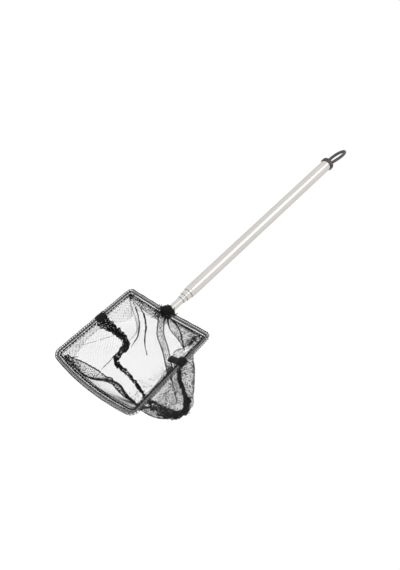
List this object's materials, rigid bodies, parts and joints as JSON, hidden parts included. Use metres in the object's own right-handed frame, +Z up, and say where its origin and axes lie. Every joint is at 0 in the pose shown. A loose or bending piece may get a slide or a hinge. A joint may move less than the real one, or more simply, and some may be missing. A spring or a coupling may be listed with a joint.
{
  "type": "leaf skimmer net",
  "caption": "Hand skimmer for pool leaves: a fine black mesh bag on a rounded wire hoop, at the end of a telescopic aluminium pole with a soft end cap and hanging loop.",
  "frame": {"origin": "middle of the grip tube, on the pole's axis", "axes": "+X along the pole to the end cap, +Z up out of the mouth of the bag, +Y across the hoop"},
  "size_m": [0.7094, 0.237, 0.2016],
  "materials": {
    "tube": "bright drawn tube with a faint grain along it",
    "bush": "natural nylon",
    "ring": "matt black friction ring",
    "cap": "satin soft vinyl",
    "plug": "moulded black plastic",
    "rivet": "plain",
    "wire": "dark grey coated spring wire",
    "hem": "dense knitted black mesh, rolled and stitched",
    "binding": "woven black binding tape",
    "mesh": "fine open black mesh",
    "cord": "twisted black cord"
  },
  "bodies": {
    "grip": {"grip_tube": "tube", "end_cap": "cap"},
    "second": {"second_tube": "tube", "second_bush": "bush", "second_ring": "ring"},
    "third": {"third_tube": "tube", "third_bush": "bush", "third_ring": "ring"},
    "front_slip": {"front_ring": "ring"},
    "head": {"front_tube": "tube", "front_bush": "bush", "tang_plug": "plug", "plug_rivet": "rivet", "hoop_wire": "wire", "near_hem": "hem", "far_hem": "hem", "left_wrap": "binding", "right_wrap": "binding", "near_panel": "mesh", "far_panel": "mesh", "seam_band": "binding", "throat_gather": "binding", "throat_tie": "cord"}
  },
  "joints": [
    {"name": "second_slide", "type": "slide", "parent": "grip", "child": "second", "axis": [-1, 0, 0], "range_m": [0, 0.341]},
    {"name": "third_slide", "type": "slide", "parent": "second", "child": "third", "axis": [-1, 0, 0], "range_m": [0, 0.349]},
    {"name": "front_slide", "type": "slide", "parent": "third", "child": "front_slip", "axis": [-1, 0, 0], "range_m": [0, 0.354]},
    {"name": "head_turn", "type": "hinge", "parent": "front_slip", "child": "head", "pos_m": [-0.26, 0, 0], "axis": [1, 0, 0], "continuous": true}
  ]
}
